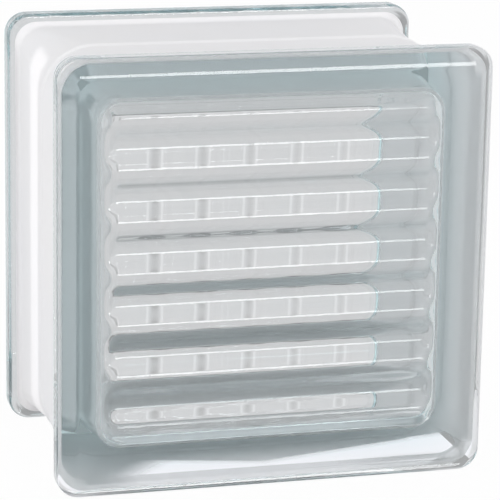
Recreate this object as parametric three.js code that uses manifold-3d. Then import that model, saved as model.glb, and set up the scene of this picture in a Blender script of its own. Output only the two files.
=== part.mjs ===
// A hollow glass block: two pressed half-shells joined face to face along a seam at mid-depth.
// Each half is a thick face plate with a flange all round it and a recessed wall behind the
// flange. The edge of its face is a shoulder, a slightly crowned bevel and a small corner. The
// inside of the plate is pressed into parallel flutes that run out towards the walls. The front
// half's flutes run across and the back half's run up and down. The recessed walls carry a thin
// white coat that the mortar bonds to.
//
// Millimetres, +Z up. The front face looks along -Y and the block stands on its edge at Z = 0.

import * as THREE from 'three';
import { mergeVertices } from 'three/addons/utils/BufferGeometryUtils.js';
import Module from 'manifold-3d';

// Overall size
const BLOCK_WIDTH = 146.05;
const BLOCK_HEIGHT = 146.05;
const BLOCK_DEPTH = 98.4;

// Flange: the band of full size round each face plate
const FLANGE_DEPTH = 9.5;
const FLANGE_CORNER_RADIUS = 7.5;
const HEEL_EDGE_RADIUS = 1.5;

// Edge of the face: each arc turns the surface on from the last, and the angles are from the face
const FACE_SHOULDER_RADIUS = 5;
const FACE_SHOULDER_TURN = THREE.MathUtils.degToRad(20);
const FACE_BEVEL_RADIUS = 30;
const FACE_BEVEL_TURN = THREE.MathUtils.degToRad(30);
const FACE_CORNER_RADIUS = 1.2;

// Recessed wall between the flanges, and the bead where the halves were pressed together
const WALL_RECESS = 4.6;
const SEAM_CORNER_RADIUS = 17.5;
const STEP_FILLET_RADIUS = 2.0;
const SEAM_BEAD_HEIGHT = 0.7;
const SEAM_BEAD_HALF_WIDTH = 2.4;

// Hollow inside each half
const PLATE_THICKNESS = 9.6;
const WALL_THICKNESS_AT_SEAM = 7.4;
const WALL_DRAFT = 2.2;
const HOLLOW_FILLET_RADIUS = 4.5;
const HOLLOW_CORNER_RADIUS = 8.5;

// Flutes pressed into the inside of each plate, which is thinnest at its middle. They run out over
// the fillet and a little way past it.
const FLUTE_PITCH = 17.35;
const FLUTE_HEIGHT = 3.0;
const FLUTE_RUN_OUT_PAST_FILLET = 1.0;

// White coat on the recessed walls
const COAT_THICKNESS = 0.3;

// Facets
const CORNER_STEPS = 7;
const FACE_ARC_STEPS = 2;
const HEEL_STEPS = 2;
const STEP_FILLET_STEPS = 4;
const BEAD_STEPS = 3;
const HOLLOW_FILLET_STEPS = 5;
const STEPS_PER_FLUTE = 10;
const RUN_OUT_STEPS = 2;

const HALF_WIDTH = BLOCK_WIDTH / 2;
const HALF_HEIGHT = BLOCK_HEIGHT / 2;
const HALF_DEPTH = BLOCK_DEPTH / 2;
const PLATE_INSET = WALL_RECESS + WALL_THICKNESS_AT_SEAM + WALL_DRAFT;
const HOLLOW_HALF_WIDTH = HALF_WIDTH - PLATE_INSET;
const HOLLOW_HALF_HEIGHT = HALF_HEIGHT - PLATE_INSET;
const CUT_OVERRUN = 2;

const wasm = await Module();
wasm.setup();

// A ring of the loft: a rounded rectangle in the XZ plane, drawn in by `inset` from the block's
// full size, at the depth y. Its points start at the right end of the bottom side.
function roundedRing(y, inset, radius) {
  const points = [];
  for (let corner = 0; corner < 4; corner += 1) {
    const signX = corner === 0 || corner === 1 ? 1 : -1;
    const signZ = corner === 1 || corner === 2 ? 1 : -1;
    const centreX = signX * (HALF_WIDTH - inset - radius);
    const centreZ = signZ * (HALF_HEIGHT - inset - radius);
    const startAngle = (corner - 1) * Math.PI / 2;
    for (let step = 0; step <= CORNER_STEPS; step += 1) {
      const angle = startAngle + step * Math.PI / 2 / CORNER_STEPS;
      const x = centreX + radius * Math.cos(angle);
      const z = centreZ + radius * Math.sin(angle);
      points.push(new THREE.Vector3(x, y, z));
    }
  }
  return points;
}

// Triangles of the band from one ring of vertices to the next.
function band(here, next) {
  return here.flatMap((vertex, i) => {
    const j = (i + 1) % here.length;
    return [vertex, next[j], here[j], vertex, next[i], next[j]];
  });
}

function meshFrom(points, indices) {
  const positions = points.flatMap((point) => [point.x, point.y, point.z]);
  const geometry = new THREE.BufferGeometry();
  geometry.setAttribute('position', new THREE.Float32BufferAttribute(positions, 3));
  geometry.setIndex(indices);
  return geometry;
}

// A closed mesh through the rings. With `closed` the last ring joins the first, which makes a
// band; otherwise the first and last rings are capped.
function loft(rings, closed) {
  const count = rings[0].length;
  const vertexRings = rings.map((ring, r) => ring.map((point, i) => r * count + i));
  const indices = [];
  const spans = closed ? rings.length : rings.length - 1;
  for (let ring = 0; ring < spans; ring += 1) {
    indices.push(...band(vertexRings[ring], vertexRings[(ring + 1) % rings.length]));
  }
  if (!closed) {
    const last = (rings.length - 1) * count;
    for (let i = 1; i < count - 1; i += 1) {
      indices.push(0, i, i + 1);
      indices.push(last, last + i + 1, last + i);
    }
  }
  return meshFrom(rings.flat(), indices);
}

function toManifold(geometry) {
  const bare = geometry.clone();
  bare.deleteAttribute('normal');
  bare.deleteAttribute('uv');
  const merged = mergeVertices(bare);
  return new wasm.Manifold(new wasm.Mesh({
    numProp: 3,
    vertProperties: new Float32Array(merged.attributes.position.array),
    triVerts: new Uint32Array(merged.index.array),
  }));
}

function toGeometry(manifold) {
  const mesh = manifold.getMesh();
  const geometry = new THREE.BufferGeometry();
  geometry.setAttribute('position', new THREE.Float32BufferAttribute(mesh.vertProperties, 3));
  geometry.setIndex(Array.from(mesh.triVerts));
  geometry.computeVertexNormals();
  return geometry;
}

// Points of an arc in the profile plane, where `depth` runs back from the face and `inset` runs
// in from the full size.
function profileArc(depth, inset, radius, startAngle, endAngle, steps) {
  const points = [];
  for (let step = 0; step <= steps; step += 1) {
    const angle = startAngle + (endAngle - startAngle) * step / steps;
    points.push({ depth: depth + radius * Math.cos(angle), inset: inset + radius * Math.sin(angle) });
  }
  return points;
}

// The edge of the face, from the flat of the face to the side of the flange.
function faceEdgeProfile() {
  const arcs = [
    { radius: FACE_SHOULDER_RADIUS, from: 0, to: FACE_SHOULDER_TURN },
    { radius: FACE_BEVEL_RADIUS, from: FACE_SHOULDER_TURN, to: FACE_BEVEL_TURN },
    { radius: FACE_CORNER_RADIUS, from: FACE_BEVEL_TURN, to: Math.PI / 2 },
  ];
  let depth = 0;
  let inset = 0;
  for (const { radius, from, to } of arcs) {
    inset += radius * (Math.sin(to) - Math.sin(from));
  }
  const points = [{ depth, inset }];
  for (const { radius, from, to } of arcs) {
    const centreDepth = depth + radius * Math.cos(from);
    const centreInset = inset + radius * Math.sin(from);
    for (let step = 1; step <= FACE_ARC_STEPS; step += 1) {
      const turn = from + (to - from) * step / FACE_ARC_STEPS;
      depth = centreDepth - radius * Math.cos(turn);
      inset = centreInset - radius * Math.sin(turn);
      points.push({ depth, inset });
    }
  }
  return points;
}

// The recessed side of a half, from the heel of the flange to the seam.
function recessProfile() {
  const heel = profileArc(
    FLANGE_DEPTH - HEEL_EDGE_RADIUS, HEEL_EDGE_RADIUS, HEEL_EDGE_RADIUS, -Math.PI / 2, 0, HEEL_STEPS);
  const fillet = profileArc(
    FLANGE_DEPTH + STEP_FILLET_RADIUS, WALL_RECESS - STEP_FILLET_RADIUS, STEP_FILLET_RADIUS,
    Math.PI, Math.PI / 2, STEP_FILLET_STEPS);
  const bead = [];
  for (let step = 0; step <= BEAD_STEPS; step += 1) {
    const along = step / BEAD_STEPS;
    const rise = SEAM_BEAD_HEIGHT * (1 - Math.cos(Math.PI * along)) / 2;
    bead.push({
      depth: HALF_DEPTH - SEAM_BEAD_HALF_WIDTH * (1 - along),
      inset: WALL_RECESS - rise,
    });
  }
  return [...heel, ...fillet, ...bead];
}

// The corners of the recessed side grow rounder from the flange to the seam.
function recessCornerRadius(depth) {
  const share = Math.max(depth - FLANGE_DEPTH, 0) / (HALF_DEPTH - FLANGE_DEPTH);
  return FLANGE_CORNER_RADIUS + (SEAM_CORNER_RADIUS - FLANGE_CORNER_RADIUS) * share;
}

function recessRing({ depth, inset }) {
  return roundedRing(depth - HALF_DEPTH, inset, recessCornerRadius(depth));
}

// The outside of a front half, from its face to the seam at Y = 0.
function halfOutside() {
  const faceRings = faceEdgeProfile().map(
    ({ depth, inset }) => roundedRing(depth - HALF_DEPTH, inset, FLANGE_CORNER_RADIUS - inset));
  const sideRings = recessProfile().map(recessRing);
  return toManifold(loft([...faceRings, ...sideRings], false));
}

// How far a point of the plate lies inside the wall round it.
function wallDistance(x, z) {
  const pastX = Math.abs(x) - (HOLLOW_HALF_WIDTH - HOLLOW_CORNER_RADIUS);
  const pastZ = Math.abs(z) - (HOLLOW_HALF_HEIGHT - HOLLOW_CORNER_RADIUS);
  const pastCorner = Math.hypot(Math.max(pastX, 0), Math.max(pastZ, 0));
  return HOLLOW_CORNER_RADIUS - pastCorner - Math.min(Math.max(pastX, pastZ), 0);
}

// Depth of the plate's inner surface: flutes that run out towards the wall, and a fillet that
// turns up into it. `across` is the place across the flutes.
function floorDepth(x, z, across) {
  const distance = wallDistance(x, z);
  const reach = THREE.MathUtils.clamp(HOLLOW_FILLET_RADIUS - distance, 0, HOLLOW_FILLET_RADIUS);
  const rise = HOLLOW_FILLET_RADIUS - Math.sqrt(HOLLOW_FILLET_RADIUS ** 2 - reach ** 2);
  const runOut = HOLLOW_FILLET_RADIUS + FLUTE_RUN_OUT_PAST_FILLET;
  const height = FLUTE_HEIGHT * THREE.MathUtils.smoothstep(distance, 0, runOut);
  return PLATE_THICKNESS + rise - height / 2 * Math.cos(2 * Math.PI * across / FLUTE_PITCH);
}

// Places of the grid lines from wall to wall: close together on the fillets and where the flutes
// run out, and between these only where the grid crosses the flutes.
function gridLines(halfSize, crossesFlutes) {
  const filletEdge = halfSize - HOLLOW_FILLET_RADIUS;
  const inner = crossesFlutes ? 0 : filletEdge - FLUTE_RUN_OUT_PAST_FILLET;
  const fluteSteps = Math.round(filletEdge / FLUTE_PITCH * STEPS_PER_FLUTE);
  const steps = crossesFlutes ? fluteSteps : RUN_OUT_STEPS;
  const lines = [];
  for (let step = 0; step <= steps; step += 1) {
    lines.push(inner + (filletEdge - inner) * step / steps);
  }
  for (let step = 1; step <= HOLLOW_FILLET_STEPS; step += 1) {
    const turn = Math.PI / 2 * step / HOLLOW_FILLET_STEPS;
    lines.push(filletEdge + HOLLOW_FILLET_RADIUS * Math.sin(turn));
  }
  const otherSide = lines.map((line) => -line).reverse();
  return [...otherSide, ...(crossesFlutes ? lines.slice(1) : lines)];
}

// A point of the square grid, drawn in at the corners so that the rim follows the rounded wall.
function toRounded(x, z) {
  const coreX = HOLLOW_HALF_WIDTH - HOLLOW_CORNER_RADIUS;
  const coreZ = HOLLOW_HALF_HEIGHT - HOLLOW_CORNER_RADIUS;
  const pastX = Math.abs(x) - coreX;
  const pastZ = Math.abs(z) - coreZ;
  if (pastX <= 0 || pastZ <= 0) {
    return { x, z };
  }
  const longest = Math.max(pastX, pastZ);
  const shrink = longest / Math.hypot(pastX, pastZ);
  const factor = 1 + (shrink - 1) * longest / HOLLOW_CORNER_RADIUS;
  return { x: Math.sign(x) * (coreX + pastX * factor), z: Math.sign(z) * (coreZ + pastZ * factor) };
}

// A point of the hollow's rim at the plate, moved to the seam: the hollow is wider there by the
// draft of its walls, and its corners keep the walls' thickness.
function rimAtSeam(x, z) {
  const seamRadius = SEAM_CORNER_RADIUS - WALL_THICKNESS_AT_SEAM;
  const coreX = HOLLOW_HALF_WIDTH - HOLLOW_CORNER_RADIUS;
  const coreZ = HOLLOW_HALF_HEIGHT - HOLLOW_CORNER_RADIUS;
  const straightX = THREE.MathUtils.clamp(x, -coreX, coreX);
  const straightZ = THREE.MathUtils.clamp(z, -coreZ, coreZ);
  const turnX = (x - straightX) / HOLLOW_CORNER_RADIUS;
  const turnZ = (z - straightZ) / HOLLOW_CORNER_RADIUS;
  return {
    x: straightX * (HOLLOW_HALF_WIDTH + WALL_DRAFT - seamRadius) / coreX + turnX * seamRadius,
    z: straightZ * (HOLLOW_HALF_HEIGHT + WALL_DRAFT - seamRadius) / coreZ + turnZ * seamRadius,
  };
}

// The hollow of a front half, from the fluted plate to just past the seam.
function hollowOf(flutesRunAcross) {
  const linesX = gridLines(HOLLOW_HALF_WIDTH, !flutesRunAcross);
  const linesZ = gridLines(HOLLOW_HALF_HEIGHT, flutesRunAcross);
  const points = [];
  const grid = linesZ.map((gridZ) => linesX.map((gridX) => {
    const { x, z } = toRounded(gridX, gridZ);
    const depth = floorDepth(x, z, flutesRunAcross ? z : x);
    return points.push(new THREE.Vector3(x, depth - HALF_DEPTH, z)) - 1;
  }));
  const indices = [];
  for (let row = 1; row < grid.length; row += 1) {
    for (let column = 1; column < linesX.length; column += 1) {
      const [low, high] = [grid[row - 1], grid[row]];
      indices.push(low[column - 1], low[column], high[column]);
      indices.push(low[column - 1], high[column], high[column - 1]);
    }
  }
  const bottom = grid[0].slice(0, -1);
  const right = grid.slice(0, -1).map((row) => row.at(-1));
  const top = grid.at(-1).slice(1).reverse();
  const left = grid.slice(1).map((row) => row[0]).reverse();
  let ring = [...bottom, ...right, ...top, ...left];
  const rim = ring.map((vertex) => rimAtSeam(points[vertex].x, points[vertex].z));
  for (const y of [0, CUT_OVERRUN]) {
    const next = rim.map(({ x, z }) => points.push(new THREE.Vector3(x, y, z)) - 1);
    indices.push(...band(ring, next));
    ring = next;
  }
  const middle = points.push(new THREE.Vector3(0, CUT_OVERRUN, 0)) - 1;
  ring.forEach((vertex, i) => indices.push(vertex, middle, ring[(i + 1) % ring.length]));
  return toManifold(meshFrom(points, indices));
}

// The white coat covers both recessed sides in one band across the seam. It starts on the step,
// where the rounding of each flange's heel ends.
function coatBand() {
  const side = recessProfile().slice(HEEL_STEPS);
  const inner = side.map(recessRing);
  const outer = side.map(({ depth, inset }, index) => {
    const before = side[Math.max(index - 1, 0)];
    const after = side[Math.min(index + 1, side.length - 1)];
    const slope = new THREE.Vector2(after.depth - before.depth, after.inset - before.inset).normalize();
    const atSeam = index === side.length - 1;
    const coatDepth = atSeam ? depth : depth + COAT_THICKNESS * slope.y;
    const coatInset = inset - COAT_THICKNESS * (atSeam ? 1 : slope.x);
    return roundedRing(
      coatDepth - HALF_DEPTH, coatInset, recessCornerRadius(depth) + inset - coatInset);
  });
  const mirrored = (rings) => rings.slice(0, -1).reverse().map(
    (ring) => ring.map((point) => new THREE.Vector3(point.x, -point.y, point.z)));
  const outerPath = [...outer, ...mirrored(outer)];
  const innerPath = [...inner, ...mirrored(inner)];
  return loft([...outerPath, ...innerPath.reverse()], true);
}

const clearGlass = new THREE.MeshStandardMaterial({ color: 0xb4c3c2, roughness: 0.05, metalness: 0 });
const whiteCoat = new THREE.MeshStandardMaterial({ color: 0xeceaea, roughness: 0.45, metalness: 0 });

const block = new THREE.Group();
block.position.z = HALF_HEIGHT;

const outside = halfOutside();
const frontHalf = new THREE.Mesh(toGeometry(outside.subtract(hollowOf(true))), clearGlass);
frontHalf.name = 'front_half';
block.add(frontHalf);

const backHalf = new THREE.Mesh(toGeometry(outside.subtract(hollowOf(false))), clearGlass);
backHalf.name = 'back_half';
backHalf.rotation.z = Math.PI;
block.add(backHalf);

const edgeCoat = new THREE.Mesh(coatBand(), whiteCoat);
edgeCoat.name = 'edge_coat';
block.add(edgeCoat);

export default block;
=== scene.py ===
import math

import bmesh
import bpy
from mathutils import Matrix, Vector


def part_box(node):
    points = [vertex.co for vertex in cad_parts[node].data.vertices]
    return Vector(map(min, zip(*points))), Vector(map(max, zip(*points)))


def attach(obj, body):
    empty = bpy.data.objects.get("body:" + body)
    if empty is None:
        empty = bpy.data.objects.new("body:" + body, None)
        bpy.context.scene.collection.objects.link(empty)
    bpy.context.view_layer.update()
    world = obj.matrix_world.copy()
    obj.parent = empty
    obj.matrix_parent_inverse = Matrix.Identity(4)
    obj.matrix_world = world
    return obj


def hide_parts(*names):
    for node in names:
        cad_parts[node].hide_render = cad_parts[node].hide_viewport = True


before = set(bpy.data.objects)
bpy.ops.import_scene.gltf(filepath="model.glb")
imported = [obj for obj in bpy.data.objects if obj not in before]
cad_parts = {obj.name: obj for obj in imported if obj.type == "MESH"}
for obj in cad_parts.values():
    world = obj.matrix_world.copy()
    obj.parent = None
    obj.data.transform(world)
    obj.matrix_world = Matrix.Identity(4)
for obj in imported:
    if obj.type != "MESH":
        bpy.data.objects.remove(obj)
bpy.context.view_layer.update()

# ---------------------------------------------------------------------------------------------
# The pressed glass halves. Each is one heavy pressing of clear soda-lime glass: a face plate
# with a full-size flange round it and a recessed, drafted wall behind. The plunger presses
# flutes into the plate, across in front and upright at the back, and the two rims are fused.
# ---------------------------------------------------------------------------------------------

front_low, front_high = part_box("front_half")
HALF_WIDTH = (front_high[0] - front_low[0]) / 2
HALF_HEIGHT = (front_high[2] - front_low[2]) / 2
MIDDLE_HEIGHT = (front_high[2] + front_low[2]) / 2
HALF_DEPTH = -front_low[1]

# The face's rounded edge, as arcs: a radius, and how far the surface has turned by its end
FACE_SHOULDER = (0.005, math.radians(20))
FACE_BEVEL = (0.030, math.radians(30))
FACE_CORNER = (0.0012, math.radians(90))
FLANGE_DEPTH = 0.0095
FLANGE_CORNER_RADIUS = 0.0075
HEEL_RADIUS = 0.0015
EDGE_SUPPORT = 0.0003

WALL_RECESS = 0.0046
STEP_FILLET_RADIUS = 0.0020
SEAM_CORNER_RADIUS = 0.0175
SEAM_BEAD_HEIGHT = 0.0007
SEAM_BEAD_HALF_WIDTH = 0.0024
SEAM_GAP = 0.00002

PLATE_THICKNESS = 0.0096
WALL_THICKNESS_AT_SEAM = 0.0074
WALL_DRAFT = 0.0022
HOLLOW_FILLET_RADIUS = 0.0045
HOLLOW_CORNER_RADIUS = 0.0085
HOLLOW_INSET = WALL_RECESS + WALL_THICKNESS_AT_SEAM + WALL_DRAFT
MARGIN_TO_HOLLOW = 0.0008
HOLLOW_HALF_WIDTH = HALF_WIDTH - HOLLOW_INSET
HOLLOW_HALF_HEIGHT = HALF_HEIGHT - HOLLOW_INSET
FLUTE_PITCH = 0.01735
FLUTE_HEIGHT = 0.003
FLUTE_RUN_OUT_START = 0.0018
FLUTE_RUN_OUT_END = 0.0062

CORNER_STEPS = 20
FACE_ARC_STEPS = 6
HEEL_STEPS = 6
STEP_FILLET_STEPS = 10
BEAD_STEPS = 8
FLOOR_STEPS = 110
HOLLOW_FILLET_STEPS = 12
WALL_RING_SHARES = (0.02, 0.25, 0.5, 0.75, 0.98, 1.0)
SHARP_EDGE = math.radians(50)

NO_TINT = (1, 1, 1, 1)
GLASS_IOR = 1.52
GLASS_TINT = (0.66, 0.855, 0.88, 1)
GLASS_TINT_DENSITY = 11.0
RIPPLE_SCALE = 45.0
RIPPLE_DETAIL = 1.0
RIPPLE_STRENGTH = 0.12
RIPPLE_HEIGHT = 0.0004


def face_edge_profile():
    """(depth, inset) points from the flat face round to the side of the flange."""
    inset = 0
    turned = 0
    for radius, turn in (FACE_SHOULDER, FACE_BEVEL, FACE_CORNER):
        inset += radius * (math.sin(turn) - math.sin(turned))
        turned = turn
    points = [(0, inset)]
    turned = 0
    for radius, turn in (FACE_SHOULDER, FACE_BEVEL, FACE_CORNER):
        depth, inset = points[-1]
        for step in range(1, FACE_ARC_STEPS + 1):
            angle = turned + (turn - turned) * step / FACE_ARC_STEPS
            points.append((
                depth + radius * (math.cos(turned) - math.cos(angle)),
                inset - radius * (math.sin(angle) - math.sin(turned))))
        turned = turn
    return points


def profile_arc(depth, inset, radius, start, end, steps):
    """(depth, inset) points of an arc about a centre, from one angle to another."""
    points = []
    for step in range(steps + 1):
        angle = start + (end - start) * step / steps
        points.append((depth + radius * math.cos(angle), inset + radius * math.sin(angle)))
    return points


def heel_profile():
    """The rounded back corner of the flange."""
    return profile_arc(
        FLANGE_DEPTH - HEEL_RADIUS, HEEL_RADIUS, HEEL_RADIUS, -math.pi / 2, 0, HEEL_STEPS)


def recess_profile():
    """The coated side: the step down behind the flange, its fillet, the wall and the bead."""
    points = profile_arc(
        FLANGE_DEPTH + STEP_FILLET_RADIUS, WALL_RECESS - STEP_FILLET_RADIUS,
        STEP_FILLET_RADIUS, math.pi, math.pi / 2, STEP_FILLET_STEPS)
    for step in range(BEAD_STEPS + 1):
        along = step / BEAD_STEPS
        swell = SEAM_BEAD_HEIGHT * (1 - math.cos(math.pi * along)) / 2
        points.append((HALF_DEPTH - SEAM_BEAD_HALF_WIDTH * (1 - along), WALL_RECESS - swell))
    return points


def recess_corner_radius(depth):
    """The corners grow rounder from the flange to the seam."""
    share = max(depth - FLANGE_DEPTH, 0) / (HALF_DEPTH - FLANGE_DEPTH)
    return FLANGE_CORNER_RADIUS + (SEAM_CORNER_RADIUS - FLANGE_CORNER_RADIUS) * share


def outside_profile():
    """(depth, inset, corner radius) of each ring from the flat face to the seam."""
    edge = face_edge_profile()
    recess = heel_profile() + recess_profile()
    flat_inset = edge[0][1] + EDGE_SUPPORT
    rings = [(0, flat_inset, FLANGE_CORNER_RADIUS - flat_inset)]
    rings += [(depth, inset, FLANGE_CORNER_RADIUS - inset) for depth, inset in edge]
    rings.append((edge[-1][0] + EDGE_SUPPORT, 0, FLANGE_CORNER_RADIUS))
    rings.append((recess[0][0] - EDGE_SUPPORT, 0, FLANGE_CORNER_RADIUS))
    rings += [(depth, inset, recess_corner_radius(depth)) for depth, inset in recess]
    rings[-1] = (HALF_DEPTH - SEAM_GAP, *rings[-1][1:])
    return rings


def rounded_ring(inset, radius):
    """(x, z) points of a rounded rectangle, drawn in by inset from the block's full size."""
    points = []
    for corner in range(4):
        sign_x = 1 if corner in (0, 1) else -1
        sign_z = 1 if corner in (1, 2) else -1
        centre_x = sign_x * (HALF_WIDTH - inset - radius)
        centre_z = sign_z * (HALF_HEIGHT - inset - radius)
        start = (corner - 1) * math.pi / 2
        for step in range(CORNER_STEPS + 1):
            angle = start + step * math.pi / 2 / CORNER_STEPS
            points.append((centre_x + radius * math.cos(angle), centre_z + radius * math.sin(angle)))
    return points


def hollow_lines(half_size):
    """Grid lines from wall to wall: even over the flutes and close together on the fillets."""
    fillet_edge = half_size - HOLLOW_FILLET_RADIUS
    lines = [fillet_edge * (2 * step / FLOOR_STEPS - 1) for step in range(FLOOR_STEPS + 1)]
    fillet = []
    for step in range(1, HOLLOW_FILLET_STEPS + 1):
        angle = math.pi / 2 * step / HOLLOW_FILLET_STEPS
        fillet.append(fillet_edge + HOLLOW_FILLET_RADIUS * math.sin(angle))
    return [-value for value in reversed(fillet)] + lines + fillet


def pull_in_corner(x, z):
    """Moves a point of the grid's square corner onto the hollow's rounded corner."""
    straight_x = HOLLOW_HALF_WIDTH - HOLLOW_CORNER_RADIUS
    straight_z = HOLLOW_HALF_HEIGHT - HOLLOW_CORNER_RADIUS
    across = max(abs(x) - straight_x, 0)
    upright = max(abs(z) - straight_z, 0)
    if across == 0 or upright == 0:
        return x, z
    longest = max(across, upright)
    shrink = 1 + (longest / math.hypot(across, upright) - 1) * longest / HOLLOW_CORNER_RADIUS
    return (
        math.copysign(straight_x + across * shrink, x),
        math.copysign(straight_z + upright * shrink, z))


def distance_from_wall(x, z):
    """How far a point of the hollow's floor lies in from the hollow's wall."""
    across = abs(x) - (HOLLOW_HALF_WIDTH - HOLLOW_CORNER_RADIUS)
    upright = abs(z) - (HOLLOW_HALF_HEIGHT - HOLLOW_CORNER_RADIUS)
    past_straight = math.hypot(max(across, 0), max(upright, 0))
    return HOLLOW_CORNER_RADIUS - past_straight - min(max(across, upright), 0)


def floor_depth(x, z, across_flutes):
    """Depth of the hollow's floor: the plate, the fillet up to the wall, and the flutes."""
    in_from_wall = distance_from_wall(x, z)
    into_fillet = min(max(HOLLOW_FILLET_RADIUS - in_from_wall, 0), HOLLOW_FILLET_RADIUS)
    fillet = HOLLOW_FILLET_RADIUS - math.sqrt(HOLLOW_FILLET_RADIUS ** 2 - into_fillet ** 2)
    run_out = (in_from_wall - FLUTE_RUN_OUT_START) / (FLUTE_RUN_OUT_END - FLUTE_RUN_OUT_START)
    run_out = min(max(run_out, 0), 1)
    full = run_out * run_out * (3 - 2 * run_out)
    flute = FLUTE_HEIGHT / 2 * math.cos(2 * math.pi * across_flutes / FLUTE_PITCH)
    return PLATE_THICKNESS + fillet - flute * full


def up_the_wall(x, z, share):
    """Moves a point of the floor's rim out over the drafted wall, by its share of the climb."""
    seam_radius = SEAM_CORNER_RADIUS - WALL_THICKNESS_AT_SEAM
    radius = HOLLOW_CORNER_RADIUS + (seam_radius - HOLLOW_CORNER_RADIUS) * share
    moved = []
    for value, half_size in ((x, HOLLOW_HALF_WIDTH), (z, HOLLOW_HALF_HEIGHT)):
        straight = half_size - HOLLOW_CORNER_RADIUS
        along = min(max(value, -straight), straight)
        turn = (value - along) / HOLLOW_CORNER_RADIUS
        moved.append(along * (half_size + WALL_DRAFT * share - radius) / straight + turn * radius)
    return moved


def border(grid):
    """The outer ring of a grid of rows."""
    right = [row[-1] for row in grid[:-1]]
    left = [row[0] for row in grid[:0:-1]]
    return grid[0][:-1] + right + grid[-1][:0:-1] + left


def strip(first, second):
    """Quads between two rings with the same number of points."""
    count = len(first)
    quads = []
    for here in range(count):
        following = (here + 1) % count
        quads.append([first[here], first[following], second[following], second[here]])
    return quads


def stitch(outer, inner, angle_of):
    """Triangles between two rings about one centre that differ in their number of points."""
    outer = sorted(outer, key=angle_of)
    inner = sorted(inner, key=angle_of)

    def turned(ring, step):
        laps, place = divmod(step, len(ring))
        return angle_of(ring[place]) + 2 * math.pi * laps

    triangles = []
    out_step = 0
    in_step = 0
    while out_step < len(outer) or in_step < len(inner):
        corners = [outer[out_step % len(outer)], inner[in_step % len(inner)]]
        outer_is_next = turned(outer, out_step + 1) <= turned(inner, in_step + 1)
        if in_step == len(inner) or (out_step < len(outer) and outer_is_next):
            out_step += 1
            corners.append(outer[out_step % len(outer)])
        else:
            in_step += 1
            corners.append(inner[in_step % len(inner)])
        triangles.append(corners)
    return triangles


def make_piece(name, points, faces):
    """A smooth closed mesh object with its faces turned outward."""
    mesh = bpy.data.meshes.new(name)
    mesh.from_pydata(points, [], faces)
    shell = bmesh.new()
    shell.from_mesh(mesh)
    bmesh.ops.recalc_face_normals(shell, faces=shell.faces)
    shell.to_mesh(mesh)
    shell.free()
    mesh.shade_smooth()
    mesh.set_sharp_from_angle(angle=SHARP_EDGE)
    piece = bpy.data.objects.new(name, mesh)
    bpy.context.scene.collection.objects.link(piece)
    return piece


def press_half(name, facing, flutes_run_across):
    """One half: facing is -1 for the front half and 1 for the back half."""
    points = []
    faces = []

    def add_point(x, z, depth):
        points.append((x, facing * (HALF_DEPTH - depth), z + MIDDLE_HEIGHT))
        return len(points) - 1

    def angle_of(number):
        x, y, z = points[number]
        return math.atan2(z - MIDDLE_HEIGHT, x)

    outside = []
    for depth, inset, radius in outside_profile():
        outside.append([add_point(x, z, depth) for x, z in rounded_ring(inset, radius)])
    faces.append(outside[0])

    plan = []
    floor = []
    for z in hollow_lines(HOLLOW_HALF_HEIGHT):
        plan.append([pull_in_corner(x, z) for x in hollow_lines(HOLLOW_HALF_WIDTH)])
        floor.append([])
        for x, z in plan[-1]:
            floor[-1].append(add_point(x, z, floor_depth(x, z, z if flutes_run_across else x)))
    for low, high in zip(floor, floor[1:]):
        for here in range(len(low) - 1):
            faces.append([low[here], low[here + 1], high[here + 1], high[here]])

    walls = [border(floor)]
    wall_foot = PLATE_THICKNESS + HOLLOW_FILLET_RADIUS
    wall_climb = HALF_DEPTH - SEAM_GAP - wall_foot
    for share in WALL_RING_SHARES:
        depth = wall_foot + wall_climb * share
        walls.append([add_point(*up_the_wall(x, z, share), depth) for x, z in border(plan)])

    for rings in (outside, walls):
        for first, second in zip(rings, rings[1:]):
            faces.extend(strip(first, second))
    faces.extend(stitch(outside[-1], walls[-1], angle_of))
    return make_piece(name, points, faces)


class Socket:
    """A shader socket. Operators on it add Math nodes, and node() adds any other node."""

    def __init__(self, tree, socket=None):
        self.tree = tree
        self.socket = socket

    def node(self, kind, settings=None, values=None, output=0):
        """Adds a node, with its settings first and then the values or links of its sockets."""
        made = self.tree.nodes.new(kind)
        for setting, value in (settings or {}).items():
            setattr(made, setting, value)
        for place, value in (values or {}).items():
            if isinstance(value, Socket):
                self.tree.links.new(value.socket, made.inputs[place])
            else:
                made.inputs[place].default_value = value
        return Socket(self.tree, made.outputs[output] if made.outputs else None)

    def output(self, name):
        """Another output of the node that this socket belongs to."""
        return Socket(self.tree, self.socket.node.outputs[name])

    def math(self, operation, *others):
        """A Math node that no operator stands for, on this socket and others."""
        return self.node("ShaderNodeMath", {"operation": operation}, dict(enumerate((self, *others))))

    def larger(self, other):
        return self.math("MAXIMUM", other)

    def smaller(self, other):
        return self.math("MINIMUM", other)

    def __add__(self, other):
        return self.math("ADD", other)

    def __sub__(self, other):
        return self.math("SUBTRACT", other)

    def __rsub__(self, other):
        return self.node("ShaderNodeMath", {"operation": "SUBTRACT"}, {0: other, 1: self})

    def __mul__(self, other):
        return self.math("MULTIPLY", other)

    def __gt__(self, other):
        return self.math("GREATER_THAN", other)

    def __lt__(self, other):
        return self.math("LESS_THAN", other)

    def __abs__(self):
        return self.math("ABSOLUTE")

    def __neg__(self):
        return self * -1

    __radd__ = __add__
    __rmul__ = __mul__


def new_finish(name):
    """An empty material, and a socket to start its nodes from."""
    finish = bpy.data.materials.new(name)
    finish.use_nodes = True
    finish.node_tree.nodes.clear()
    return finish, Socket(finish.node_tree)


def place_on_block(shader):
    """A point's place in the block's frame, and how far it is to the right, back and up."""
    place = shader.node("ShaderNodeTexCoord", output="Object")
    to_right = shader.node("ShaderNodeSeparateXYZ", {}, {"Vector": place}, output="X")
    return place, to_right, to_right.output("Y"), to_right.output("Z")


def mix_surfaces(share, first, second):
    return share.node("ShaderNodeMixShader", {}, {0: share, 1: first, 2: second})


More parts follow.
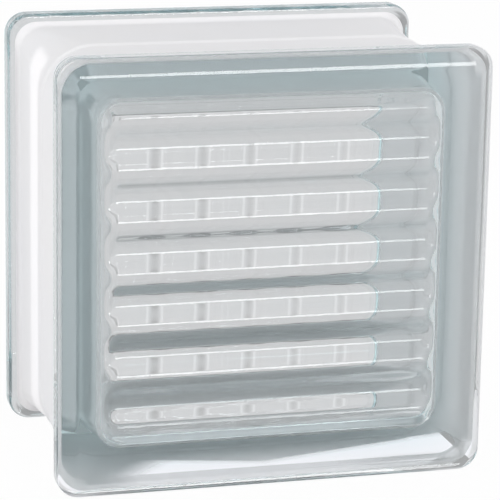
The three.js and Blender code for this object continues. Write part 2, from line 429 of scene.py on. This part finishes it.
def clear_pressed_glass():
    finish, shader = new_finish("clear_pressed_glass")
    place, to_right, to_back, height = place_on_block(shader)
    swell = shader.node("ShaderNodeTexNoise", {}, {
        "Vector": place, "Scale": RIPPLE_SCALE, "Detail": RIPPLE_DETAIL})
    ripple = shader.node("ShaderNodeBump", {}, {
        "Strength": RIPPLE_STRENGTH, "Distance": RIPPLE_HEIGHT, "Height": swell})
    body = shader.node("ShaderNodeBsdfPrincipled", {}, {
        "Base Color": NO_TINT, "Roughness": 0, "IOR": GLASS_IOR, "Transmission Weight": 1,
        "Normal": ripple})
    tint = shader.node("ShaderNodeVolumeAbsorption", {}, {
        "Color": GLASS_TINT, "Density": GLASS_TINT_DENSITY})

    # Fused and coated faces have no air against them, so light passes them without bending
    from_seam = abs(to_back)
    past_straight_x = abs(to_right) - (HALF_WIDTH - FLANGE_CORNER_RADIUS)
    past_straight_z = abs(height - MIDDLE_HEIGHT) - (HALF_HEIGHT - FLANGE_CORNER_RADIUS)
    round_x = past_straight_x.larger(0)
    round_z = past_straight_z.larger(0)
    in_from_outline = (
        FLANGE_CORNER_RADIUS - (round_x * round_x + round_z * round_z).math("SQRT")
        - past_straight_x.larger(past_straight_z).smaller(0))
    behind_flange = from_seam < HALF_DEPTH - FLANGE_DEPTH + 2 * SEAM_GAP
    on_step = in_from_outline > WALL_RECESS - STEP_FILLET_RADIUS
    outside_wall = in_from_outline < HOLLOW_INSET - WALL_DRAFT - MARGIN_TO_HOLLOW
    fused = from_seam < 2 * SEAM_GAP
    joined = (behind_flange * on_step * outside_wall).larger(fused)
    clear = shader.node("ShaderNodeBsdfTransparent")
    surface = mix_surfaces(joined, body, clear)
    shader.node("ShaderNodeOutputMaterial", {}, {"Surface": surface, "Volume": tint})
    return finish


glass = clear_pressed_glass()
for name, node, facing, flutes_run_across in (
        ("front_glass_half", "front_half", -1, True),
        ("back_glass_half", "back_half", 1, False)):
    half = press_half(name, facing, flutes_run_across)
    half.data.materials.append(glass)
    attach(half, "root")
    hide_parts(node)

# ---------------------------------------------------------------------------------------------
# The edge coat: a thin white polymer skin over the recessed walls, steps and seam, brushed on
# after the halves are fused, so that mortar grips the block and the joint doesn't show through
# the glass. Its tone is uneven. Under the front half it is left out in a wedge, so that the
# table's white glow shows through the glass there as a painted patch of light.
# ---------------------------------------------------------------------------------------------

COAT_THICKNESS = 0.0003
COAT_BITE = 0.00005
COOL_WHITE = (0.90, 0.90, 0.92, 1)
WARM_WHITE = (0.95, 0.93, 0.92, 1)
GLOWING_WHITE = (0.925, 0.915, 0.92, 1)
BRUSH_SCALE = 14.0
BRUSH_DETAIL = 3.0
COAT_ROUGHNESS = 0.6

# How much of the light passes the coat, changed by place as painted light and shade: least
# under the block, less in a band on the left and more in bands on the right
COAT_PASSES = 0.08
WALL_PASSES_MORE = 0.18
WALL_STARTS = (0.004, 0.012)
SIDE_WALL = (0.064, 0.066)
BAND_PASSING_LESS = 0.21
BAND_PASSING_LESS_FRONT = (0.006, 0.009)
BAND_PASSING_LESS_BACK = (0.018, 0.024)
BAND_PASSING_MORE = 0.12
BAND_PASSING_MORE_FRONT = (-0.032, -0.024)
BAND_PASSING_MORE_BACK = (-0.012, -0.002)
PASSING_MORE_PAST_SEAM = 0.09
PAST_SEAM = (0, 0.010)

# The painted patch of light: a wedge where the coat is left out so the table's glow shows,
# widening to both sides, with a dimmer strip along the step and faint painted light behind
# it. Pairs are where a soft step starts and ends
BED_SIDE_TOP = (0.0086, 0.0092)
LIGHT_PATCH_BACK_EDGE = -0.006
LIGHT_PATCH_MIDDLE = -0.027
LIGHT_PATCH_SPREAD = 0.37
LIGHT_PATCH_CORNER_DROP = 3.5
LIGHT_PATCH_EDGE = (-0.0003, 0.0003)
LIGHT_PATCH_DEEPENS = (0, 0.007)
LIGHT_PATCH_LEAST = 0.70
LIGHT_PATCH_MOST = 0.97
LIGHT_PATCH_RIGHT_END = (0.0664, 0.0670)
LIGHT_PATCH_LEFT_END = (-0.058, -0.038)
LIGHT_PATCH_LEFT_SLANT = 0.6
STEP_STRIP = (0.0348, 0.0362)
STEP_STRIP_DIMS = 0.47
STEP_STRIP_RIGHT = (0.015, 0.060)
STEP_STRIP_DIMS_RIGHT = 0.33
FAINT_LIGHT_DEEPENS = (0.0, 0.030)
FAINT_LIGHT_MOST = 0.28


def coat_skin(thickness):
    """(y, inset, corner radius) of rings at an offset from the recess, from front to back."""
    recess = recess_profile()
    front = []
    for number, (depth, inset) in enumerate(recess):
        before = recess[max(number - 1, 0)]
        after = recess[min(number + 1, len(recess) - 1)]
        slope = Vector((after[0] - before[0], after[1] - before[1])).normalized()
        if number == len(recess) - 1:
            slope = Vector((1, 0))
        skin_inset = inset - thickness * slope.x
        radius = recess_corner_radius(depth) + inset - skin_inset
        front.append((depth + thickness * slope.y - HALF_DEPTH, skin_inset, radius))
    back = [(-y, inset, radius) for y, inset, radius in reversed(front[:-1])]
    return front + back


def brush_coat():
    """The coat as a closed band: its outer skin, and its inner skin bedded in the glass."""
    outer = coat_skin(COAT_THICKNESS)
    inner = coat_skin(-COAT_BITE)
    points = []
    rings = []
    for y, inset, radius in outer + inner[::-1]:
        start = len(points)
        for x, z in rounded_ring(inset, radius):
            points.append((x, y, z + MIDDLE_HEIGHT))
        rings.append(range(start, len(points)))
    faces = []
    for first, second in zip(rings, rings[1:] + rings[:1]):
        faces.extend(strip(first, second))
    piece = make_piece("white_edge_coat", points, faces)
    outer_faces = (len(outer) - 1) * len(rings[0])
    for polygon in piece.data.polygons:
        polygon.material_index = 0 if polygon.index < outer_faces else 1
    return piece


def rise(value, start, end):
    """0 before start and 1 past end, with a soft step between."""
    return value.node("ShaderNodeMapRange", {"interpolation_type": "SMOOTHSTEP"}, {
        "Value": value, "From Min": start, "From Max": end})


def between(value, start, end):
    """1 from the soft step at start to the soft step at end, and 0 outside them."""
    return rise(value, *start) * (1 - rise(value, *end))


def mix_colours(share, first, second):
    return share.node("ShaderNodeMix", {"data_type": "RGBA"}, {0: share, 6: first, 7: second}, output=2)


def white_polymer_coat():
    finish, shader = new_finish("white_edge_coat")
    place, to_right, to_back, height = place_on_block(shader)
    brushing = shader.node("ShaderNodeTexNoise", {}, {
        "Vector": place, "Scale": BRUSH_SCALE, "Detail": BRUSH_DETAIL})
    tone = mix_colours(brushing, COOL_WHITE, WARM_WHITE)
    paint = shader.node("ShaderNodeBsdfPrincipled", {}, {
        "Base Color": tone, "Roughness": COAT_ROUGHNESS})
    glowing = shader.node("ShaderNodeBsdfTranslucent", {}, {"Color": GLOWING_WHITE})
    # Painted light and shade in the glass: a band on the left that passes less light, and bands on the
    # right that pass more
    passing_less = rise(-to_right, *SIDE_WALL) * between(to_back, BAND_PASSING_LESS_FRONT, BAND_PASSING_LESS_BACK)
    passing_more = rise(to_right, *SIDE_WALL) * between(to_back, BAND_PASSING_MORE_FRONT, BAND_PASSING_MORE_BACK)
    passes = COAT_PASSES + rise(height, *WALL_STARTS) * WALL_PASSES_MORE
    past_seam = rise(to_right, *SIDE_WALL) * rise(to_back, *PAST_SEAM)
    passes = passes - passing_less * BAND_PASSING_LESS + passing_more * BAND_PASSING_MORE + past_seam * PASSING_MORE_PAST_SEAM
    coated = mix_surfaces(passes, paint, glowing)

    # Painted patch of light: the coat is left out here, so the table's glow shows through the glass
    up_the_corner = (height - WALL_RECESS).larger(0)
    back_edge = (abs(to_right) * LIGHT_PATCH_SPREAD + LIGHT_PATCH_MIDDLE).smaller(LIGHT_PATCH_BACK_EDGE)
    past_edge = back_edge - up_the_corner * LIGHT_PATCH_CORNER_DROP - to_back
    light_patch = rise(past_edge, *LIGHT_PATCH_DEEPENS) * (LIGHT_PATCH_MOST - LIGHT_PATCH_LEAST) + LIGHT_PATCH_LEAST
    light_patch = light_patch * rise(past_edge, *LIGHT_PATCH_EDGE)
    dimmed_at_step = rise(to_right, *STEP_STRIP_RIGHT) * STEP_STRIP_DIMS_RIGHT + STEP_STRIP_DIMS
    light_patch = light_patch * (1 - rise(-to_back, *STEP_STRIP) * dimmed_at_step)
    past_left_end = rise(to_right - (to_back + STEP_STRIP[0]) * LIGHT_PATCH_LEFT_SLANT, *LIGHT_PATCH_LEFT_END)
    light_patch = light_patch * past_left_end * (1 - rise(to_right, *LIGHT_PATCH_RIGHT_END))
    # Faint painted light behind the patch
    faint_light = rise(-to_back, *FAINT_LIGHT_DEEPENS) * past_left_end * FAINT_LIGHT_MOST
    light_patch_opening = light_patch.larger(faint_light) * (1 - rise(height, *BED_SIDE_TOP))
    clear = shader.node("ShaderNodeBsdfTransparent")
    shader.node("ShaderNodeOutputMaterial", {}, {"Surface": mix_surfaces(light_patch_opening, coated, clear)})
    return finish


def bond_to_glass():
    """The coat's inner skin, which is one with the glass and doesn't show."""
    finish, shader = new_finish("coat_bond")
    clear = shader.node("ShaderNodeBsdfTransparent")
    shader.node("ShaderNodeOutputMaterial", {}, {"Surface": clear})
    return finish


coat = brush_coat()
coat.data.materials.append(white_polymer_coat())
coat.data.materials.append(bond_to_glass())
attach(coat, "root")
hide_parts("edge_coat")

# ---------------------------------------------------------------------------------------------
# The table: a plain white board that the block stands on and throws its shadow on. Straight and
# mirrored sight lines see it as white. Those that come down through the glass under the block,
# where the board lies in the block's shadow, see a painted white glow with painted shade on it.
# Those that the glass turns past the block go on to the room's own table top.
# ---------------------------------------------------------------------------------------------

TABLE_HALF_SIZE = 3.0
TABLE_DROP = 0.0002
TABLE_WHITE = (0.85, 0.85, 0.85, 1)
SHOWN_WHITE = 1.0
SHOWN_SHARE = 0.96
# The colour of the painted glow under the block
PAINTED_GLOW_UNDER_BLOCK = (0.97, 0.96, 1, 1)

# Painted shade on the glow under the block: how much darker it is drawn where the front flange
# presses on it at the right, through the hollow, and by reflection inside the glass. The first
# face counts once in Transmission Depth
CONTACT_SHADE = 0.7
CONTACT_RIGHT = (0.030, 0.062)
CONTACT_BACK = (-0.018, -0.010)
PAST_FIRST_FACE = 1.5
HOLLOW_SHADE = 0.70
FOLDED_SHADE = 0.40


def ray_kinds(shader):
    """Sockets that are 1 for straight, mirrored and bent sight lines that nothing scattered."""
    straight = shader.node("ShaderNodeLightPath", output="Is Camera Ray")
    scattered = (straight.output("Diffuse Depth") + straight.output("Is Diffuse Ray")).smaller(1)
    mirrored = straight.output("Is Glossy Ray") * (1 - scattered)
    bent = straight.output("Is Transmission Ray") * (1 - scattered)
    return straight, mirrored, bent


def white_table():
    finish, shader = new_finish("white_table")
    straight, mirrored, bent = ray_kinds(shader)
    through_hollow = straight.output("Transmission Depth") > PAST_FIRST_FACE
    to_right, to_back = place_on_block(shader)[1:3]
    beside = (abs(to_right) > HALF_WIDTH).larger(abs(to_back) > HALF_DEPTH)
    contact = rise(to_right, *CONTACT_RIGHT) * (1 - rise(to_back, *CONTACT_BACK))
    folded = straight.output("Glossy Depth").smaller(1)
    # Painted shade on the painted glow under the block
    painted_light_under_block = (1 - contact * CONTACT_SHADE) * (1 - through_hollow * HOLLOW_SHADE)
    painted_light_under_block = painted_light_under_block * (1 - folded * FOLDED_SHADE)
    shown = straight.larger(mirrored * beside).larger(bent * painted_light_under_block)
    white = mix_colours(bent, NO_TINT, PAINTED_GLOW_UNDER_BLOCK)
    board = shader.node("ShaderNodeBsdfDiffuse", {}, {"Color": TABLE_WHITE})
    glow = shader.node("ShaderNodeEmission", {}, {"Color": white, "Strength": SHOWN_WHITE})
    top = mix_surfaces(shown * SHOWN_SHARE, board, glow)
    clear = shader.node("ShaderNodeBsdfTransparent")
    shader.node("ShaderNodeOutputMaterial", {}, {"Surface": mix_surfaces(bent * beside, top, clear)})
    return finish


corners = []
for sign_x, sign_y in ((-1, -1), (1, -1), (1, 1), (-1, 1)):
    corners.append((sign_x * TABLE_HALF_SIZE, sign_y * TABLE_HALF_SIZE, -TABLE_DROP))
table_mesh = bpy.data.meshes.new("white_table")
table_mesh.from_pydata(corners, [], [(0, 1, 2, 3)])
table_mesh.materials.append(white_table())
table = bpy.data.objects.new("white_table", table_mesh)
bpy.context.scene.collection.objects.link(table)

# ---------------------------------------------------------------------------------------------
# The room: a white sweep for straight and mirrored sight lines, and an even, soft light. Seen
# through the whole block it has a pale wall with a soft, darker doorway, a table top, a dim
# ceiling and the near edge of the table, which the crossed flutes break up into small images.
# ---------------------------------------------------------------------------------------------

ROOM_LIGHT = 0.64
ROOM_LIGHT_AT_SIDES = 0.50
ROOM_TINT = (0.985, 0.985, 1, 1)
WALL_TINT = (1, 0.97, 0.98, 1)

# Levels of what is seen through the block, past its second glass face
PAST_SECOND_FACE = 2.5
WALL = 0.70
TABLE_TOP = 0.64
DOORWAY = 0.40
DOOR_FRAME = 0.82
DIM = 0.22
THROUGH_FLANGE = 0.70
AHEAD_THROUGH_FLANGE = 0.36
AHEAD = (0.88, 0.95)

# Bearings and elevations where those levels change, in degrees
DOORWAY_LEFT = (-22, -18)
DOORWAY_RIGHT = (-4.5, 2.5)
DOOR_FRAME_LEFT = (2, 4)
DOOR_FRAME_RIGHT = (6, 9)
DOORWAY_FADES = (-7, 0)
DOORWAY_FADE = 0.55
TABLE_FAR_EDGE = (-9, -6)
TABLE_NEAR_EDGE = (-41, -34)
CEILING_EDGE = (20, 35)


def turn_past(bearing, start, end):
    return rise(bearing, math.radians(start), math.radians(end))


def climb_past(upward, start, end):
    return rise(upward, math.sin(math.radians(start)), math.sin(math.radians(end)))


def shift(level, other, share):
    """A level, moved towards another by a share."""
    return level + share * (other - level)


world = bpy.data.worlds.new("white_room")
bpy.context.scene.world = world
world.use_nodes = True
world.node_tree.nodes.clear()
shader = Socket(world.node_tree)
straight, mirrored, bent = ray_kinds(shader)
through_block = bent * (straight.output("Transmission Depth") > PAST_SECOND_FACE)
toward = shader.node("ShaderNodeTexCoord", output="Generated")
to_right = shader.node("ShaderNodeSeparateXYZ", {}, {"Vector": toward}, output="X")
upward = to_right.output("Z")
to_back = to_right.output("Y")
bearing = to_right.math("ARCTAN2", to_back)

in_doorway = turn_past(bearing, *DOORWAY_LEFT) * (1 - turn_past(bearing, *DOORWAY_RIGHT))
in_doorway = in_doorway * (1 - climb_past(upward, *DOORWAY_FADES) * DOORWAY_FADE)
in_frame = turn_past(bearing, *DOOR_FRAME_LEFT) * (1 - turn_past(bearing, *DOOR_FRAME_RIGHT))
back_wall = WALL + in_doorway * (DOORWAY - WALL) + in_frame * (DOOR_FRAME - WALL)
seen = shift(TABLE_TOP, back_wall, climb_past(upward, *TABLE_FAR_EDGE))
in_dim = 1 + climb_past(upward, *CEILING_EDGE) - climb_past(upward, *TABLE_NEAR_EDGE)
seen = shift(seen, DIM, in_dim)

room = abs(to_right) * ROOM_LIGHT_AT_SIDES + ROOM_LIGHT
level = shift(room, SHOWN_WHITE, straight.larger(mirrored))
through_flange = rise(to_back, *AHEAD) * (AHEAD_THROUGH_FLANGE - THROUGH_FLANGE) + THROUGH_FLANGE
level = shift(level, through_flange, bent)
level = shift(level, seen, through_block)
tint = mix_colours(through_block, ROOM_TINT, WALL_TINT)
sky = shader.node("ShaderNodeBackground", {}, {"Color": tint, "Strength": level})
shader.node("ShaderNodeOutputWorld", {}, {"Surface": sky})

# ---------------------------------------------------------------------------------------------
# The lamps: two rectangular softboxes on stands. The one on the right lights the top of the
# block and the flutes, and the wide one on the left lights the coated side.
# ---------------------------------------------------------------------------------------------

SOFTBOX_DISTANCE = 1.6


def add_softbox(name, azimuth, elevation, width, height, power):
    """A softbox that faces the block, at an azimuth from the front towards the right."""
    lamp = bpy.data.lights.new(name, "AREA")
    lamp.shape = "RECTANGLE"
    lamp.size = width
    lamp.size_y = height
    lamp.energy = power
    tilt = Matrix.Rotation(math.pi / 2 - math.radians(elevation), 4, "X")
    pan = Matrix.Rotation(math.radians(azimuth), 4, "Z")
    stand = bpy.data.objects.new(name, lamp)
    middle = Matrix.Translation((0, 0, MIDDLE_HEIGHT))
    stand.matrix_world = middle @ pan @ tilt @ Matrix.Translation((0, 0, SOFTBOX_DISTANCE))
    bpy.context.scene.collection.objects.link(stand)


add_softbox("softbox_right", azimuth=17, elevation=23, width=0.8, height=0.4, power=9)
add_softbox("softbox_left", azimuth=-80, elevation=15, width=1.5, height=1.5, power=7.5)

# ---------------------------------------------------------------------------------------------
# The camera, a little above the block and to its left, and how light is traced in the glass.
# ---------------------------------------------------------------------------------------------

CAMERA_PLACE = (-0.2356, -0.861355, 0.298005)
CAMERA_YAW = math.radians(15.5428)
CAMERA_PITCH = math.radians(14.3881)
CAMERA_ROLL = math.radians(1.0028)
FOCAL_LENGTH_IN_PIXELS = 2678.87
PICTURE_WIDTH_IN_PIXELS = 500
SENSOR_WIDTH_IN_MM = 36.0
GLASS_BOUNCES = 32
OTHER_BOUNCES = 16

scene = bpy.context.scene
lens = bpy.data.cameras.new("camera")
lens.sensor_width = SENSOR_WIDTH_IN_MM
lens.lens = FOCAL_LENGTH_IN_PIXELS / PICTURE_WIDTH_IN_PIXELS * SENSOR_WIDTH_IN_MM
camera = bpy.data.objects.new("camera", lens)
aim = Matrix.Rotation(-CAMERA_YAW, 4, "Z") @ Matrix.Rotation(math.pi / 2 - CAMERA_PITCH, 4, "X")
camera.matrix_world = Matrix.Translation(CAMERA_PLACE) @ aim @ Matrix.Rotation(CAMERA_ROLL, 4, "Z")
scene.collection.objects.link(camera)
scene.camera = camera

scene.view_settings.view_transform = "Standard"
scene.cycles.max_bounces = GLASS_BOUNCES
scene.cycles.transmission_bounces = GLASS_BOUNCES
scene.cycles.glossy_bounces = OTHER_BOUNCES
scene.cycles.diffuse_bounces = OTHER_BOUNCES
scene.cycles.transparent_max_bounces = OTHER_BOUNCES
